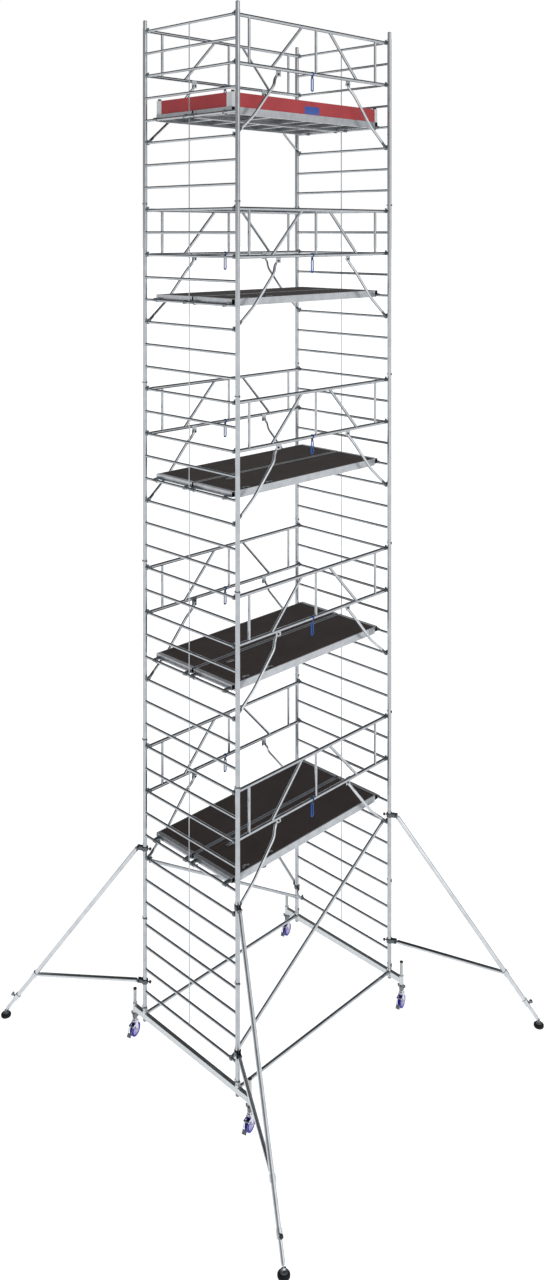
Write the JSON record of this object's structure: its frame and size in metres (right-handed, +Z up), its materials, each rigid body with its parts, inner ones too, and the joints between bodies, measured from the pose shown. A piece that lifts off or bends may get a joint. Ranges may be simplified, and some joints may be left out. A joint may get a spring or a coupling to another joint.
{
  "type": "mobile tower scaffold",
  "caption": "Tall mobile access tower of stacked ladder frames with hooked decks and hatches, guardrails, braces, toe boards, lockable castors and swing-out outriggers.",
  "frame": {"origin": "on the floor, at the centre of the tower's plan", "axes": "+Z up the tower, +X along the decks from one ladder side to the other, +Y along the rungs"},
  "size_m": [4.313, 4.602, 11.465],
  "materials": {
    "frame_aluminium": "satin extruded",
    "beam_steel": "hot-dip galvanised",
    "rail_aluminium": "satin extruded",
    "claw_casting": "cast, grey",
    "clip_steel": "spring steel",
    "deck_aluminium": "mill",
    "phenolic_ply": "phenolic film, brown",
    "red_board": "red coated board",
    "board_end": "satin",
    "blue_plastic": "moulded blue",
    "black_knob": "moulded black",
    "spindle_steel": "zinc-plated thread",
    "nut_casting": "zinc-plated casting",
    "castor_steel": "pressed, zinc-plated",
    "wheel_plastic": "moulded violet blue",
    "pedal_steel": "pressed grey",
    "foot_rubber": "moulded black"
  },
  "bodies": {
    "root": {"caster_beams": "beam_steel", "beam_lock_knobs": "black_knob", "base_frames": "frame_aluminium", "ladder_frames_1": "frame_aluminium", "ladder_frames_2": "frame_aluminium", "ladder_frames_3": "frame_aluminium", "ladder_frames_4": "frame_aluminium", "ladder_frames_5": "frame_aluminium", "joint_clips": "clip_steel", "base_rails": "rail_aluminium", "diagonal_braces": "rail_aluminium", "hook_claws": "claw_casting", "guardrails_1": "rail_aluminium", "guardrails_2": "rail_aluminium", "guardrails_3": "rail_aluminium", "guardrails_4": "rail_aluminium", "guardrails_5": "rail_aluminium", "guardrail_struts": "rail_aluminium", "rail_hooks": "blue_plastic", "deck_frames": "deck_aluminium", "deck_panels": "phenolic_ply", "toe_boards": "red_board", "toe_board_ends": "board_end"},
    "hatch_1": {"hatch_1": "phenolic_ply"},
    "hatch_2": {"hatch_2": "phenolic_ply"},
    "hatch_3": {"hatch_3": "phenolic_ply"},
    "hatch_4": {"hatch_4": "phenolic_ply"},
    "hatch_5": {"hatch_5": "phenolic_ply"},
    "outrigger_1": {"outrigger_1": "rail_aluminium"},
    "outrigger_leg_1": {"outrigger_leg_1": "rail_aluminium"},
    "outrigger_foot_1": {"outrigger_foot_1": "foot_rubber"},
    "outrigger_2": {"outrigger_2": "rail_aluminium"},
    "outrigger_leg_2": {"outrigger_leg_2": "rail_aluminium"},
    "outrigger_foot_2": {"outrigger_foot_2": "foot_rubber"},
    "outrigger_3": {"outrigger_3": "rail_aluminium"},
    "outrigger_leg_3": {"outrigger_leg_3": "rail_aluminium"},
    "outrigger_foot_3": {"outrigger_foot_3": "foot_rubber"},
    "outrigger_4": {"outrigger_4": "rail_aluminium"},
    "outrigger_leg_4": {"outrigger_leg_4": "rail_aluminium"},
    "outrigger_foot_4": {"outrigger_foot_4": "foot_rubber"},
    "spindle_1": {"spindle_1": "spindle_steel"},
    "spindle_nut_1": {"spindle_nut_1": "nut_casting"},
    "caster_fork_1": {"caster_fork_1": "castor_steel"},
    "wheel_1": {"wheel_1": "wheel_plastic"},
    "brake_pedal_1": {"brake_pedal_1": "pedal_steel"},
    "spindle_2": {"spindle_2": "spindle_steel"},
    "spindle_nut_2": {"spindle_nut_2": "nut_casting"},
    "caster_fork_2": {"caster_fork_2": "castor_steel"},
    "wheel_2": {"wheel_2": "wheel_plastic"},
    "brake_pedal_2": {"brake_pedal_2": "pedal_steel"},
    "spindle_3": {"spindle_3": "spindle_steel"},
    "spindle_nut_3": {"spindle_nut_3": "nut_casting"},
    "caster_fork_3": {"caster_fork_3": "castor_steel"},
    "wheel_3": {"wheel_3": "wheel_plastic"},
    "brake_pedal_3": {"brake_pedal_3": "pedal_steel"},
    "spindle_4": {"spindle_4": "spindle_steel"},
    "spindle_nut_4": {"spindle_nut_4": "nut_casting"},
    "caster_fork_4": {"caster_fork_4": "castor_steel"},
    "wheel_4": {"wheel_4": "wheel_plastic"},
    "brake_pedal_4": {"brake_pedal_4": "pedal_steel"}
  },
  "joints": [
    {"name": "hatch_1_hinge", "type": "hinge", "parent": "root", "child": "hatch_1", "pos_m": [-0.76, -0.557, 2.4056], "axis": [1, 0, 0], "range_deg": [0, 90]},
    {"name": "hatch_2_hinge", "type": "hinge", "parent": "root", "child": "hatch_2", "pos_m": [-0.76, -0.557, 4.4056], "axis": [1, 0, 0], "range_deg": [0, 90]},
    {"name": "hatch_3_hinge", "type": "hinge", "parent": "root", "child": "hatch_3", "pos_m": [-0.76, -0.557, 6.4056], "axis": [1, 0, 0], "range_deg": [0, 90]},
    {"name": "hatch_4_hinge", "type": "hinge", "parent": "root", "child": "hatch_4", "pos_m": [-0.76, -0.557, 8.4056], "axis": [1, 0, 0], "range_deg": [0, 90]},
    {"name": "hatch_5_hinge", "type": "hinge", "parent": "root", "child": "hatch_5", "pos_m": [-0.76, -0.557, 10.4056], "axis": [1, 0, 0], "range_deg": [0, 90]},
    {"name": "outrigger_1_swing", "type": "hinge", "parent": "root", "child": "outrigger_1", "pos_m": [-1.239, -0.754, 1.45], "axis": [0, 0, -1], "range_deg": [-30, 60]},
    {"name": "outrigger_leg_1_slide", "type": "slide", "parent": "outrigger_1", "child": "outrigger_leg_1", "axis": [-0.3049, -0.528, -0.7926], "range_m": [0, 0.3]},
    {"name": "outrigger_foot_1_tilt", "type": "hinge", "parent": "outrigger_leg_1", "child": "outrigger_foot_1", "pos_m": [-2.099, -2.24356, 0.066], "axis": [0.866, -0.5, 0], "range_deg": [-15, 15]},
    {"name": "outrigger_2_swing", "type": "hinge", "parent": "root", "child": "outrigger_2", "pos_m": [-1.239, 0.754, 1.45], "axis": [0, 0, 1], "range_deg": [-30, 60]},
    {"name": "outrigger_leg_2_slide", "type": "slide", "parent": "outrigger_2", "child": "outrigger_leg_2", "axis": [-0.3049, 0.528, -0.7926], "range_m": [0, 0.3]},
    {"name": "outrigger_foot_2_tilt", "type": "hinge", "parent": "outrigger_leg_2", "child": "outrigger_foot_2", "pos_m": [-2.099, 2.24356, 0.066], "axis": [-0.866, -0.5, 0], "range_deg": [-15, 15]},
    {"name": "outrigger_3_swing", "type": "hinge", "parent": "root", "child": "outrigger_3", "pos_m": [1.239, -0.754, 1.45], "axis": [0, 0, 1], "range_deg": [-30, 60]},
    {"name": "outrigger_leg_3_slide", "type": "slide", "parent": "outrigger_3", "child": "outrigger_leg_3", "axis": [0.3049, -0.528, -0.7926], "range_m": [0, 0.3]},
    {"name": "outrigger_foot_3_tilt", "type": "hinge", "parent": "outrigger_leg_3", "child": "outrigger_foot_3", "pos_m": [2.099, -2.24356, 0.066], "axis": [0.866, 0.5, 0], "range_deg": [-15, 15]},
    {"name": "outrigger_4_swing", "type": "hinge", "parent": "root", "child": "outrigger_4", "pos_m": [1.239, 0.754, 1.45], "axis": [0, 0, -1], "range_deg": [-30, 60]},
    {"name": "outrigger_leg_4_slide", "type": "slide", "parent": "outrigger_4", "child": "outrigger_leg_4", "axis": [0.3049, 0.528, -0.7926], "range_m": [0, 0.3]},
    {"name": "outrigger_foot_4_tilt", "type": "hinge", "parent": "outrigger_leg_4", "child": "outrigger_foot_4", "pos_m": [2.099, 2.24356, 0.066], "axis": [-0.866, 0.5, 0], "range_deg": [-15, 15]},
    {"name": "spindle_nut_1_turn", "type": "hinge", "parent": "root", "child": "spindle_nut_1", "pos_m": [-1.239, -0.934, 0.238], "axis": [0, 0, 1], "range_deg": [0, 5400]},
    {"name": "spindle_1_slide", "type": "slide", "parent": "root", "child": "spindle_1", "axis": [0, 0, -1], "range_m": [0, 0.15]},
    {"name": "caster_fork_1_swivel", "type": "hinge", "parent": "spindle_1", "child": "caster_fork_1", "pos_m": [-1.239, -0.934, 0.19], "axis": [0, 0, 1], "continuous": true},
    {"name": "wheel_1_spin", "type": "hinge", "parent": "caster_fork_1", "child": "wheel_1", "pos_m": [-1.239, -0.934, 0.075], "axis": [-0.2588, 0.9659, 0], "continuous": true},
    {"name": "brake_pedal_1_press", "type": "hinge", "parent": "caster_fork_1", "child": "brake_pedal_1", "pos_m": [-1.30275, -0.95108, 0.14], "axis": [0.2588, -0.9659, 0], "range_deg": [0, 12]},
    {"name": "spindle_nut_2_turn", "type": "hinge", "parent": "root", "child": "spindle_nut_2", "pos_m": [-1.239, 0.934, 0.238], "axis": [0, 0, 1], "range_deg": [0, 5400]},
    {"name": "spindle_2_slide", "type": "slide", "parent": "root", "child": "spindle_2", "axis": [0, 0, -1], "range_m": [0, 0.15]},
    {"name": "caster_fork_2_swivel", "type": "hinge", "parent": "spindle_2", "child": "caster_fork_2", "pos_m": [-1.239, 0.934, 0.19], "axis": [0, 0, 1], "continuous": true},
    {"name": "wheel_2_spin", "type": "hinge", "parent": "caster_fork_2", "child": "wheel_2", "pos_m": [-1.239, 0.934, 0.075], "axis": [-0.2588, 0.9659, 0], "continuous": true},
    {"name": "brake_pedal_2_press", "type": "hinge", "parent": "caster_fork_2", "child": "brake_pedal_2", "pos_m": [-1.30275, 0.91692, 0.14], "axis": [0.2588, -0.9659, 0], "range_deg": [0, 12]},
    {"name": "spindle_nut_3_turn", "type": "hinge", "parent": "root", "child": "spindle_nut_3", "pos_m": [1.239, -0.934, 0.238], "axis": [0, 0, 1], "range_deg": [0, 5400]},
    {"name": "spindle_3_slide", "type": "slide", "parent": "root", "child": "spindle_3", "axis": [0, 0, -1], "range_m": [0, 0.15]},
    {"name": "caster_fork_3_swivel", "type": "hinge", "parent": "spindle_3", "child": "caster_fork_3", "pos_m": [1.239, -0.934, 0.19], "axis": [0, 0, 1], "continuous": true},
    {"name": "wheel_3_spin", "type": "hinge", "parent": "caster_fork_3", "child": "wheel_3", "pos_m": [1.239, -0.934, 0.075], "axis": [-0.2588, 0.9659, 0], "continuous": true},
    {"name": "brake_pedal_3_press", "type": "hinge", "parent": "caster_fork_3", "child": "brake_pedal_3", "pos_m": [1.17525, -0.95108, 0.14], "axis": [0.2588, -0.9659, 0], "range_deg": [0, 12]},
    {"name": "spindle_nut_4_turn", "type": "hinge", "parent": "root", "child": "spindle_nut_4", "pos_m": [1.239, 0.934, 0.238], "axis": [0, 0, 1], "range_deg": [0, 5400]},
    {"name": "spindle_4_slide", "type": "slide", "parent": "root", "child": "spindle_4", "axis": [0, 0, -1], "range_m": [0, 0.15]},
    {"name": "caster_fork_4_swivel", "type": "hinge", "parent": "spindle_4", "child": "caster_fork_4", "pos_m": [1.239, 0.934, 0.19], "axis": [0, 0, 1], "continuous": true},
    {"name": "wheel_4_spin", "type": "hinge", "parent": "caster_fork_4", "child": "wheel_4", "pos_m": [1.239, 0.934, 0.075], "axis": [-0.2588, 0.9659, 0], "continuous": true},
    {"name": "brake_pedal_4_press", "type": "hinge", "parent": "caster_fork_4", "child": "brake_pedal_4", "pos_m": [1.17525, 0.91692, 0.14], "axis": [0.2588, -0.9659, 0], "range_deg": [0, 12]}
  ],
  "couplings": [
    {"joint": "spindle_1_slide", "follows": "spindle_nut_1_turn", "m_per_rad": 0.0015915},
    {"joint": "spindle_2_slide", "follows": "spindle_nut_2_turn", "m_per_rad": 0.0015915},
    {"joint": "spindle_3_slide", "follows": "spindle_nut_3_turn", "m_per_rad": 0.0015915},
    {"joint": "spindle_4_slide", "follows": "spindle_nut_4_turn", "m_per_rad": 0.0015915}
  ]
}
